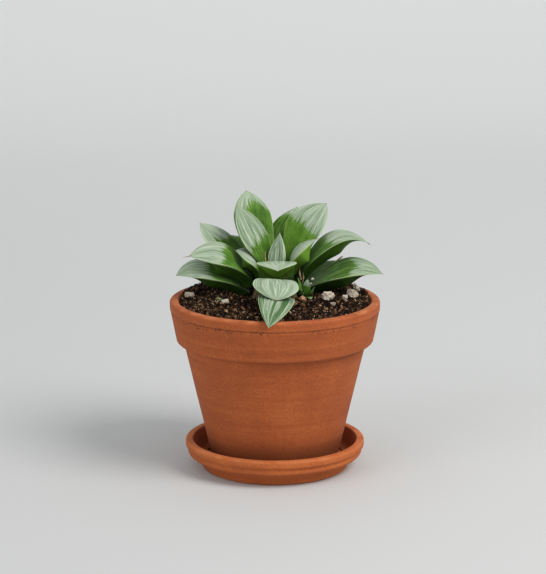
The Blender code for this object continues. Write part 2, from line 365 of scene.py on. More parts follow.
saucer_clay = clay_look("saucer_clay", SAUCER_SPECKS, saucer_marks)
saucer = lathe("clay_saucer", saucer_outline(), SAUCER_FACETS, saucer_clay, SAUCER_WOBBLE)
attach(saucer, "root")
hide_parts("saucer")


# ---------------------------------------------------------------- Pot
# A standard tapered flowerpot of the same clay, thrown in a mould: a thick collar round its mouth,
# a plain wall below and a drain hole through its floor. It stands loose in the saucer.

POT_LOW, POT_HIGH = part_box("pot")
RIM_RADIUS = POT_HIGH.x
RIM_Z = POT_HIGH.z
RIM_WALL = 4.7 * MM
CREASE_Z = RIM_Z - 5.3 * MM
COLLAR_Z = RIM_Z - 22.3 * MM
POT_FOOT_Z = POT_LOW.z
POT_FOOT_RADIUS = 33.3 * MM
POT_NECK_RADIUS = 47.8 * MM
POT_WALL = 4.5 * MM
POT_FLOOR = 5.5 * MM
POT_GAP = 1.1 * MM
POT_FACETS = 256
POT_WOBBLE = 0.12 * MM
POT_SPECKS = 0.13
DRAIN_RADIUS = 6.5 * MM
# Heights over which the darker foot, partly damp clay and partly painted shade, fades out.
DAMP_SHADE_LOW, DAMP_SHADE_HIGH = 10.0 * MM, 27.0 * MM


def pot_outer(z):
    """Radius of the plain outside wall at a height."""
    share = (z - POT_FOOT_Z) / (COLLAR_Z - POT_FOOT_Z)
    return POT_FOOT_RADIUS + (POT_NECK_RADIUS - POT_FOOT_RADIUS) * share


def pot_inner(z):
    """Radius of the inside wall at a height."""
    low = POT_FOOT_Z + POT_FLOOR
    low_radius = pot_outer(low) - POT_WALL
    return low_radius + (RIM_RADIUS - RIM_WALL - low_radius) * (z - low) / (RIM_Z - low)


def pot_outline():
    """The pot's section, round from the drain hole's lower edge."""
    rim, floor_z = RIM_RADIUS, POT_FOOT_Z + POT_FLOOR
    points = [(DRAIN_RADIUS, POT_FOOT_Z), (POT_FOOT_RADIUS - 1.2 * MM, POT_FOOT_Z)]
    points += arc((POT_FOOT_RADIUS - 1.0 * MM, POT_FOOT_Z + 1.0 * MM), 1.0 * MM, -80, -10, 5)
    points += [(pot_outer(COLLAR_Z - 1.5 * MM), COLLAR_Z - 1.5 * MM)]
    points += [(pot_outer(COLLAR_Z) + 0.3 * MM, COLLAR_Z - 0.2 * MM)]
    points += [(rim - 6.2 * MM, COLLAR_Z + 0.15 * MM)]
    points += arc((rim - 5.2 * MM, COLLAR_Z + 2.0 * MM), 1.9 * MM, -75, 0, 7)
    points += [(rim - 2.75 * MM, COLLAR_Z + 4.4 * MM), (rim - 0.45 * MM, RIM_Z - 6.1 * MM)]
    points += [(rim - 0.62 * MM, RIM_Z - 5.4 * MM), (rim - 0.12 * MM, RIM_Z - 4.9 * MM)]
    points += [(rim, RIM_Z - 3.6 * MM)]
    points += arc((rim - 1.5 * MM, RIM_Z - 1.5 * MM), 1.5 * MM, 5, 88, 8)
    points += arc((rim - 3.4 * MM, RIM_Z - 1.2 * MM), 1.2 * MM, 92, 175, 7)
    points += [(pot_inner(floor_z + 2.0 * MM), floor_z + 2.0 * MM)]
    points += [(pot_inner(floor_z) - 2.0 * MM, floor_z)]
    points += [(DRAIN_RADIUS, floor_z), (DRAIN_RADIUS, POT_FOOT_Z + 0.8 * MM)]
    return smooth_outline(points, POT_GAP)


def pot_marks(place, colour):
    """Dark specks in the crease below the rim, a painted highlight paling the rim's top, and a darker
    foot that is partly damp clay and partly painted shade.
    """
    z = split(place)[2]
    ragged = cloud(place, 90.0, 2.0).ramp(0.36, 0.54)
    line = ((z - CREASE_Z).step("ABSOLUTE") * -1.0 / (0.55 * MM) + 1.0).clamp()
    band = ((z - (CREASE_Z - 0.6 * MM)).step("ABSOLUTE") * -1.0 / (1.5 * MM) + 1.0).clamp()
    far, tint = cells(place * Vector((1.0, 1.0, 1.3)), 800.0)
    dots = (0.48 - far).ramp(0.0, 0.1) * split(tint)[0].step("LESS_THAN", 0.60)
    colour = mixed(line * (0.20 + ragged * 0.40), colour, (0.090, 0.026, 0.011))
    colour = mixed(band.ramp(0.0, 0.4) * dots * ragged * 0.85, colour, (0.060, 0.018, 0.009))
    # Paler patches along the top of the rim: painted highlight.
    paler_top = z.ramp(RIM_Z - 1.6 * MM, RIM_Z) * cloud(place, 120.0, 3.0).ramp(0.35, 0.75)
    colour = mixed(paler_top * 0.45, colour, (0.640, 0.255, 0.105))
    # The foot is darker: partly damp clay, partly painted shade.
    damp_and_shade = 1.0 - z.ramp(DAMP_SHADE_LOW, DAMP_SHADE_HIGH)
    return mixed(damp_and_shade * 0.75, colour, (0.100, 0.021, 0.003))


pot_clay = clay_look("pot_clay", POT_SPECKS, pot_marks)
pot = lathe("clay_pot", pot_outline(), POT_FACETS, pot_clay, POT_WOBBLE)
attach(pot, "root")
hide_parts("pot")


# ---------------------------------------------------------------- Soil
# Loose potting mix filling the pot: dark peat and fine bark, heaped a little higher at the back.
# It is one lumpy fill, with crumbs, grit, bark chips and fibres lying loose all over its top.

SOIL_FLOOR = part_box("soil")[0].z
STEM_LOW, STEM_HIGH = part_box("stem")
SOIL_GAP = 0.15 * MM
SOIL_FACETS = 240
SOIL_RINGS = 45
POCKET_RADIUS = STEM_HIGH.x + 0.2 * MM
POCKET_Z = STEM_LOW.z - 0.2 * MM
# The mound's height above the rim at each distance from the middle, in millimetres.
SOIL_MARKS = (
    (12.0, 0.4),
    (17.0, 1.9),
    (23.0, 2.6),
    (28.0, 2.2),
    (35.0, 0.9),
    (42.0, -0.6),
    (50.5, -2.4),
)
BACK_HEAP = 3.4
LUMPS = ((1.7, 0.01, 120.0), (0.8, 0.03, 520.0))


def eased(value, low, high):
    """Rises smoothly from 0 to 1 as the value goes from low to high."""
    share = min(1.0, max(0.0, (value - low) / (high - low)))
    return share * share * (3.0 - 2.0 * share)


def soil_surface(x, y):
    """Height of the soil at a place: a mound round the crown, a heap at the back, and lumps."""
    r = math.hypot(x, y) / MM
    height = SOIL_MARKS[-1][1]
    for (r0, h0), (r1, h1) in zip(SOIL_MARKS, SOIL_MARKS[1:]):
        if r0 <= r < r1:
            height = h0 + (h1 - h0) * (r - r0) / (r1 - r0)
    height += BACK_HEAP * eased(y / MM, 2.0, 26.0) * eased(r, 28.0, 40.0)
    for tall, layer, often in LUMPS:
        height += tall * noise.noise(Vector((x, y, layer)) * often)
    return RIM_Z + height * MM


def soil_body():
    """The whole fill as one closed form: a lumpy top, walls just inside the pot, a flat bottom."""
    edge = pot_inner(RIM_Z - 2.0 * MM) - SOIL_GAP
    spread = (edge - POCKET_RADIUS) / (SOIL_RINGS - 1)
    turns = [2.0 * math.pi * i / SOIL_FACETS for i in range(SOIL_FACETS)]
    corner_z = SOIL_FLOOR + 2.0 * MM
    bm = bmesh.new()
    rings = []

    def ring_at(r, height):
        places = [(r * math.cos(a), r * math.sin(a)) for a in turns]
        heights = [height(x, y) if callable(height) else height for x, y in places]
        rings.append([bm.verts.new((x, y, z)) for (x, y), z in zip(places, heights)])

    ring_at(POCKET_RADIUS, POCKET_Z)
    for i in range(SOIL_RINGS):
        ring_at(POCKET_RADIUS + spread * i, soil_surface)
    ring_at(pot_inner(corner_z) - 4 * SOIL_GAP, corner_z)
    ring_at(pot_inner(SOIL_FLOOR) - 2.6 * MM, SOIL_FLOOR)
    for inner, outer in zip(rings, rings[1:]):
        for i in range(SOIL_FACETS):
            j = (i + 1) % SOIL_FACETS
            bm.faces.new((inner[i], outer[i], outer[j], inner[j]))
    for ring, height in ((rings[0], POCKET_Z), (rings[-1], SOIL_FLOOR)):
        middle = bm.verts.new((0.0, 0.0, height))
        for i in range(SOIL_FACETS):
            bm.faces.new((middle, ring[i], ring[(i + 1) % SOIL_FACETS]))
    bmesh.ops.recalc_face_normals(bm, faces=bm.faces)
    return add_piece("potting_soil", bm, SOIL_LOOK)


def soil_look():
    """Peat, near black down in the hollows of its relief as painted shade, warm brown on the rises, and
    very rough.
    """
    material, tree, shader, place = new_look("peat", specular=0.05)
    clods = cloud(place, 420.0, 4.0, 0.7)
    # The colour follows the relief: painted shade darkens its hollows.
    colour = tones(
        clods,
        (0.36, (0.006, 0.004, 0.003)),
        (0.52, (0.026, 0.015, 0.009)),
        (0.70, (0.085, 0.048, 0.027)),
    )
    plug(colour, shader.inputs["Base Color"])
    plug(0.86 + clods * 0.14, shader.inputs["Roughness"])
    raise_surface(tree, shader, clods, 0.6 * MM, 0.9)
    return material


def grain_group():
    """The fine uneven grain of anything dry and fibrous, and how rough it makes the surface."""
    group, inside, outside = new_group(
        "dry_grain",
        "ShaderNodeTree",
        {"Place": "Vector", "Scale": "Float"},
        {"Grain": "Float", "Roughness": "Float"},
    )
    place = Figure(group, inside.outputs["Place"])
    grain = cloud(place * Figure(group, inside.outputs["Scale"]), 1.0, 3.0, 0.6)
    plug(grain, outside.inputs["Grain"])
    plug(0.70 + grain * 0.28, outside.inputs["Roughness"])
    return group


DRY_GRAIN = grain_group()


def dry_grain(tree, shader, place, scale, depth):
    """The shared grain placed in a material, as its roughness and its relief. Returns its value."""
    node = tree.nodes.new("ShaderNodeGroup")
    node.node_tree = DRY_GRAIN
    plug(scale, node.inputs["Scale"])
    plug(place, node.inputs["Place"])
    grain, rough = (Figure(tree, socket) for socket in node.outputs)
    plug(rough, shader.inputs["Roughness"])
    raise_surface(tree, shader, grain, depth, 0.6)
    return grain


def bits_look(name, *stops):
    """Crumbs whose colour goes by each one's own tint, over stops from 0 to 1, with a fine grain."""
    material, tree, shader, place = new_look(name, specular=0.08)
    node = tree.nodes.new("ShaderNodeAttribute")
    node.attribute_name = "tint"
    tint = Figure(tree, node.outputs["Fac"])
    grain = dry_grain(tree, shader, place, 1500.0, 0.15 * MM)
    colour = tones(tint, *stops)
    colour = mixed(grain.ramp(0.40, 0.62) * 0.60, colour, colour * 0.2)
    plug(colour, shader.inputs["Base Color"])
    return material


def run_tree(base, name, tree, values):
    """The tree run on an object that it then replaces, kept as a plain mesh under a new name."""
    modifier = base.modifiers.new("tree", "NODES")
    modifier.node_group = tree
    for item in tree.interface.items_tree:
        if item.item_type == "SOCKET" and item.in_out == "INPUT" and item.name in values:
            modifier[item.identifier] = values[item.name]
    graph = bpy.context.evaluated_depsgraph_get()
    mesh = bpy.data.meshes.new_from_object(base.evaluated_get(graph))
    mesh.name = name
    bpy.data.objects.remove(base)
    piece = bpy.data.objects.new(name, mesh)
    bpy.context.scene.collection.objects.link(piece)
    return piece


def shaped(tree, kind, inputs=None, **settings):
    """A geometry node with its inputs and its settings. Returns its first output."""
    node = tree.nodes.new("GeometryNode" + kind)
    for label, value in settings.items():
        setattr(node, label, value)
    for label, value in (inputs or {}).items():
        plug(value, node.inputs[label])
    return Figure(tree, node.outputs[0])


BIT_SIZES = (
    *("Density", "Size", "Spread", "Long", "Wide", "High"),
    *("Tumble", "Inner", "Outer", "Lift", "Rough"),
)
HALF_TURN = 3.14


def scatter_tree():
    """Loose bits scattered over a surface between two radii, each turned, stretched and dented."""
    takes = {"Geometry": "Geometry", **dict.fromkeys(BIT_SIZES, "Float")}
    takes.update({"Seed": "Int", "Look": "Material"})
    gives = {"Geometry": "Geometry"}
    tree, inside, outside = new_group("scattered_bits", "GeometryNodeTree", takes, gives)
    size = {socket.name: Figure(tree, socket) for socket in inside.outputs if socket.name}

    def chance(low, high, offset):
        node = tree.nodes.new("FunctionNodeRandomValue")
        plug(low, node.inputs[2])
        plug(high, node.inputs[3])
        plug(size["Seed"] + float(offset), node.inputs["Seed"])
        return Figure(tree, node.outputs[1])

    spot = shaped(tree, "InputPosition")
    radius = (spot * Vector((1.0, 1.0, 0.0))).step("LENGTH")
    facing = split(shaped(tree, "InputNormal"))[2]
    wanted = radius.step("GREATER_THAN", size["Inner"]) * radius.step("LESS_THAN", size["Outer"])
    wanted = wanted * facing.step("GREATER_THAN", 0.3)
    where = {"Mesh": size["Geometry"], "Selection": wanted}
    where.update({"Density": size["Density"], "Seed": size["Seed"]})
    points = shaped(tree, "DistributePointsOnFaces", where)
    grain = shaped(tree, "MeshIcoSphere", {"Radius": 1.0, "Subdivisions": 1})
    scale = chance(1.0 - size["Spread"], size["Spread"] + 1.0, 1) * size["Size"]
    stretch = joined(tree, size["Long"], size["Wide"], size["High"])
    tumble = size["Tumble"]
    tilts = [chance(tumble * -1.0, tumble, offset) for offset in (2, 3)]
    turned = joined(tree, *tilts, chance(-HALF_TURN, HALF_TURN, 4))
    bits = shaped(
        tree,
        "InstanceOnPoints",
        {"Points": points, "Instance": grain, "Rotation": turned, "Scale": stretch * scale},
    )
    bits = shaped(
        tree,
        "StoreNamedAttribute",
        {"Geometry": bits, "Name": "tint", "Value": chance(0.0, 1.0, 5)},
        data_type="FLOAT",
        domain="INSTANCE",
    )
    bits = shaped(tree, "RealizeInstances", {"Geometry": bits})
    dent = (cloud(spot / size["Size"], 0.9, 1.0) - 0.5) * size["Size"] * size["Rough"]
    offset = shaped(tree, "InputNormal") * dent + joined(tree, 0.0, 0.0, size["Lift"])
    bits = shaped(tree, "SetPosition", {"Geometry": bits, "Offset": offset})
    bits = shaped(tree, "SetShadeSmooth", {"Geometry": bits, "Shade Smooth": False})
    bits = shaped(tree, "SetMaterial", {"Geometry": bits, "Material": size["Look"]})
    plug(bits, outside.inputs[0])
    return tree


SCATTER_TREE = scatter_tree()
SOIL_LOOK = soil_look()
soil_piece = soil_body()
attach(soil_piece, "root")
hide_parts("soil")

PEAT_CRUMBS = bits_look(
    "peat_crumbs",
    (0.0, (0.005, 0.003, 0.002)),
    (0.50, (0.013, 0.007, 0.004)),
    (0.86, (0.042, 0.021, 0.011)),
    (1.0, (0.200, 0.110, 0.058)),
)
BARK_CHIPS = bits_look(
    "bark_chips",
    (0.0, (0.030, 0.012, 0.006)),
    (0.45, (0.130, 0.058, 0.026)),
    (0.80, (0.380, 0.215, 0.115)),
    (1.0, (0.680, 0.500, 0.330)),
)
BITS_INNER, BITS_OUTER, BITS_LIFT = 12.5 * MM, 49.3 * MM, 0.1 * MM
# name: (look, seed, how many to the square metre, then size, spread, long, wide, high, tumble, rough)
SOIL_BITS = {
    "soil_crumbs": (PEAT_CRUMBS, 11, 520000.0, 0.95, 0.65, 1.0, 0.85, 0.7, HALF_TURN, 1.5),
    "soil_grit": (PEAT_CRUMBS, 12, 700000.0, 0.42, 0.55, 1.2, 0.9, 0.7, HALF_TURN, 1.4),
    "bark_chips": (BARK_CHIPS, 13, 130000.0, 0.62, 0.65, 2.4, 0.8, 0.5, 1.1, 1.3),
    "bark_fibres": (BARK_CHIPS, 14, 250000.0, 0.21, 0.50, 7.0, 1.1, 0.8, 0.9, 1.8),
}
for name, (look, seed, density, size, spread, *stretch, tumble, rough) in SOIL_BITS.items():
    sizes = (density, size * MM, spread, *stretch, tumble, BITS_INNER, BITS_OUTER, BITS_LIFT, rough)
    ground = bpy.data.objects.new(name + "_ground", soil_piece.data)
    bpy.context.scene.collection.objects.link(ground)
    values = {**dict(zip(BIT_SIZES, sizes)), "Seed": seed, "Look": look}
    bits = run_tree(ground, name, SCATTER_TREE, values)
    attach(bits, "root")


# ---------------------------------------------------------------- Pumice
# Chips of pale pumice mixed into the soil to keep it open: angular, porous and cream-grey.
# Each was broken from a bigger lump, and lies half sunk where it fell.

PUMICE_CUTS = 8
PUMICE_CHIPS = 7
PUMICE_SWELL = 1.15
BROKEN_EDGE = 40.0


def pumice_look():
    """Cream-grey stone, brown in patches and darker in its pores."""
    material, tree, shader, place = new_look("pumice", specular=0.25)
    pores, _ = cells(place, 900.0)
    cloudy = cloud(place, 300.0, 3.0, 0.6)
    colour = tones(
        cloudy,
        (0.35, (0.330, 0.270, 0.200)),
        (0.55, (0.560, 0.500, 0.410)),
        (0.70, (0.700, 0.650, 0.560)),
    )
    colour = mixed((0.30 - pores).ramp(0.0, 0.2) * 0.75, colour, (0.150, 0.110, 0.080))
    plug(colour, shader.inputs["Base Color"])
    plug(0.8 + cloudy * 0.2, shader.inputs["Roughness"])
    raise_surface(tree, shader, pores * 0.6 + cloudy * 0.4, 0.4 * MM, 0.8)
    return material


def pumice_stone(node, seed):
    """One chip in its node's place: a ball cut by flat breaks, then pitted."""
    low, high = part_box(node)
    middle = (low + high) / 2.0
    half = (high - low) / 2.0
    bm = bmesh.new()
    bmesh.ops.create_icosphere(bm, subdivisions=5, radius=1.0)
    for vert in bm.verts:
        way = vert.co.normalized()
        shape = PUMICE_SWELL
        for i in range(PUMICE_CUTS):
            turn = i * 2.4 + seed * 1.7
            tilt = math.sin(i * 1.9 + seed)
            flat = math.sqrt(max(0.0, 1.0 - tilt * tilt))
            cut = Vector((flat * math.cos(turn), flat * math.sin(turn), tilt))
            depth = 0.66 + 0.12 * math.sin(i * 5.1 + seed)
            shape = min(shape, depth / max(0.05, way.dot(cut)))
        lumps = noise.fractal(way * 2.4 + Vector((seed, 0.0, 0.0)), 0.7, 2.0, 5)
        pits = max(0.0, noise.noise(way * 6.0 + Vector((0.0, seed, 0.0))) - 0.12)
        shape = shape * (1.0 + 0.16 * lumps - 0.45 * pits)
        vert.co = middle + Vector((way.x * half.x, way.y * half.y, way.z * half.z)) * shape * PUMICE_SWELL
    return add_piece("pumice_" + node, bm, PUMICE_LOOK, BROKEN_EDGE)


PUMICE_LOOK = pumice_look()
for number in range(1, PUMICE_CHIPS + 1):
    node = f"stone_{number:02d}"
    chip = pumice_stone(node, float(number))
    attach(chip, "root")
    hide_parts(node)


# ---------------------------------------------------------------- Stem
# The short stout stem at the heart of the rosette, wrapped in the dry brown bases of old leaves.
# Its foot is sunk in the soil, and every leaf grows out of it.

# Radius and height above the rim, from the foot up, in millimetres.
STEM_FOOT = -3.9
STEM_SECTION = (
    (12.2, STEM_FOOT),
    (12.1, 1.0),
    (10.6, 5.0),
    (8.2, 9.0),
    (6.0, 12.0),
    (4.0, 13.6),
    (1.5, 15.0),
    (0.0, 15.4),
)
STEM_FACETS = 72
STEM_WOBBLE = 0.4 * MM


def stem_look():
    """Olive green skin under dry brown scales."""
    material, tree, shader, place = new_look("stem_skin", specular=0.3)
    scales = dry_grain(tree, shader, place * Vector((1.0, 1.0, 0.35)), 420.0, 0.4 * MM)
    colour = tones(
        scales,
        (0.36, (0.040, 0.030, 0.014)),
        (0.54, (0.090, 0.085, 0.028)),
        (0.70, (0.200, 0.150, 0.075)),
    )
    plug(colour, shader.inputs["Base Color"])
    return material


stem_outline = [(r * MM, RIM_Z + h * MM) for r, h in STEM_SECTION]
stem_outline = [(0.0, RIM_Z + STEM_FOOT * MM)] + smooth_outline(stem_outline)
stem_piece = lathe("haworthia_stem", stem_outline, STEM_FACETS, stem_look(), STEM_WOBBLE)
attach(stem_piece, "root")
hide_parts("stem")


# ---------------------------------------------------------------- Leaves
# Thick fleshy leaves in a rosette, each springing from the stem: flat above and keeled below, smooth
# green, with a pale translucent window at the tip whose striped edge breaks into teeth.

# Each leaf's shape, in millimetres and degrees, with heights above the rim:
# azimuth, turn, base radius, base height, tip radius, tip height, rise, fall,
# bend, half width, thickness, roll, widest, base share, keel, point.
# Azimuth runs counter-clockwise from +X, turn is how far the tip swings, rise and fall are the slopes
# at base and tip, bend how long they are kept, roll tips the face sideways, and point is how sharply
# the leaf narrows to its tip. Widest, base share and keel are shares of the length or half width.
LEAVES = {
    "leaf_01": (182, -4, 13, 3.6, 51.5, 12, 42, -38, 0.43, 9.2, 7.4, -40, 0.46, 0.42, 0.4, 0.85),
    "leaf_02": (276, -9, 13, 3, 61.5, -1.1, 28, -28, 0.33, 9.3, 3.4, -26, 0.34, 0.42, 0, 1.1),
    "leaf_03": (360, 2, 13, 4, 56, 13, 34, -31, 0.48, 11.0, 8.0, 27, 0.47, 0.42, -0.4, 0.85),
    "leaf_04": (124, 0, 13, 6, 43, 27, 45, 8, 0.42, 8.0, 4.5, 0, 0.60, 0.42, 0, 0.85),
    "leaf_05": (62, 0, 13, 4, 46, 11, 30, -12, 0.40, 9.0, 5.0, 0, 0.62, 0.42, 0, 0.85),
    "leaf_06": (189, -6, 10, 8, 44.5, 23.2, 55.5, -17, 0.54, 10.3, 9.2, -42, 0.47, 0.40, 0.45, 0.85),
    "leaf_07": (271, 0, 11, 9.0, 36, 7.2, 46, -52, 0.54, 11.8, 4.0, -10, 0.70, 0.42, 0, 0.80),
    "leaf_08": (4, 8, 10, 10, 50, 27.5, 57, -39, 0.54, 10.2, 8.4, 10, 0.50, 0.42, -0.2, 0.85),
    "leaf_09": (151.5, 0, 11, 8.3, 45, 35.9, 50, 32, 0.40, 9.4, 3.4, -19, 0.60, 0.37, 0, 0.85),
    "leaf_10": (118, 4, 10, 10.5, 28.5, 53, 62, 64, 0.34, 11.6, 4.8, 0, 0.63, 0.50, 0, 0.85),
    "leaf_11": (96, -24, 11.5, 8, 38.6, 42.0, 60, 28, 0.42, 8.2, 4.2, 0, 0.60, 0.42, 0, 0.85),
    "leaf_12": (51, -12, 9, 10, 35, 46.5, 64, 20, 0.48, 12.5, 5.0, 18, 0.58, 0.40, 0, 0.85),
    "leaf_13": (177, -2, 7.0, 12, 20.6, 25.4, 77, 8, 0.50, 9.4, 6.0, -15, 0.50, 0.52, 0.4, 1.0),
    "leaf_14": (276, -2, 6.5, 12, 20.5, 19.0, 89, -20, 0.80, 10.4, 7.5, 0, 0.64, 0.86, 0, 1.4),
    "leaf_15": (350, 14, 6.5, 14, 22.3, 31.5, 78, 20, 0.50, 7.8, 7.4, 5, 0.46, 0.58, -0.4, 1.0),
    "leaf_16": (139, 9, 4.8, 14.3, 23, 46.8, 72, 56, 0.38, 10.0, 4.0, -20, 0.42, 0.50, 0, 0.85),
    "leaf_17": (75, -8, 2, 16.3, 6.4, 34.2, 80, 84, 0.33, 5.0, 2.4, 0, 0.22, 0.42, 0, 1.3),
    "leaf_18": (97, 0, 13, 4, 46, 13, 35, -10, 0.40, 9.0, 5.0, 0, 0.62, 0.42, 0, 0.85),
    "leaf_19": (33, 0, 13, 3.2, 39, 16, 32, 8, 0.40, 7.0, 4.2, 0, 0.60, 0.42, 0, 0.85),
}
# Each leaf's colours: window, slant, peak, veins, painted light, dull.
# Window is the share of the leaf's length that is green, slant how far that differs from side to side,
# peak how far the green runs up the middle, veins how strongly dark lines cross the window, painted light
# how much the green flesh is brightened as if lit, and dull how grey the whole leaf is.
LEAF_MARKS = {
    "leaf_01": (0.46, -0.08, 0.08, 0.5, 0.1, 0.15),
    "leaf_02": (0.02, 0.0, 0.0, 1.2, 0.0, 0.35),
    "leaf_03": (0.55, 0.05, 0.10, 0.5, 0.0, 0.4),
    "leaf_04": (0.90, 0.0, 0.0, 0.3, 0.0, 0.0),
    "leaf_05": (0.62, 0.0, 0.05, 0.3, 0.0, 0.0),
    "leaf_06": (0.50, -0.05, 0.02, 0.25, 0.1, 0.0),
    "leaf_07": (0.38, 0.0, 0.0, 0.3, 0.0, 0.2),
    "leaf_08": (0.45, -0.03, 0.02, 0.2, 0.15, 0.1),
    "leaf_09": (0.60, 0.0, 0.04, 0.4, 0.0, 0.0),
    "leaf_10": (0.55, -0.14, 0.26, 0.2, 0.1, 0.1),
    "leaf_11": (0.78, 0.0, 0.05, 0.3, 0.0, 0.0),
    "leaf_12": (0.55, 0.08, 0.03, 0.3, 0.45, 0.0),
    "leaf_13": (0.25, 0.0, 0.0, 0.3, 0.4, 0.0),
    "leaf_14": (0.30, 0.0, 0.0, 0.3, 1.0, 0.1),
    "leaf_15": (0.22, 0.0, 0.0, 0.4, 0.9, 0.0),
    "leaf_16": (0.36, -0.08, 0.03, 0.7, 0.1, 0.25),
    "leaf_17": (-0.1, 0.0, 0.0, 0.9, 0.0, 0.0),
    "leaf_18": (0.60, 0.0, 0.05, 0.3, 0.0, 0.0),
    "leaf_19": (0.92, 0.0, 0.0, 0.3, 0.0, 0.0),
}
LEAF_SIZES = (
    *("Azimuth", "Turn", "Base radius", "Base height", "Tip radius", "Tip height", "Rise", "Fall"),
    *("Bend", "Half width", "Thickness", "Roll", "Widest", "Base share", "Keel", "Point"),
    *("Window", "Slant", "Peak", "Veins", "Painted light", "Dull"),
)
IN_DEGREES = ("Azimuth", "Turn", "Rise", "Fall", "Roll")
IN_MILLIMETRES = (*LEAF_SIZES[2:6], "Half width", "Thickness")
LEAF_MESH = {"Rings": 110, "Around": 73}
LEAF_MARGIN = 0.42 * MM
SEAM_GAP = 0.002 * MM
# The green teeth at the window's edge: how many to the millimetre across, and how tall they are.
TEETH = ((0.55, 0.125), (1.25, 0.075))


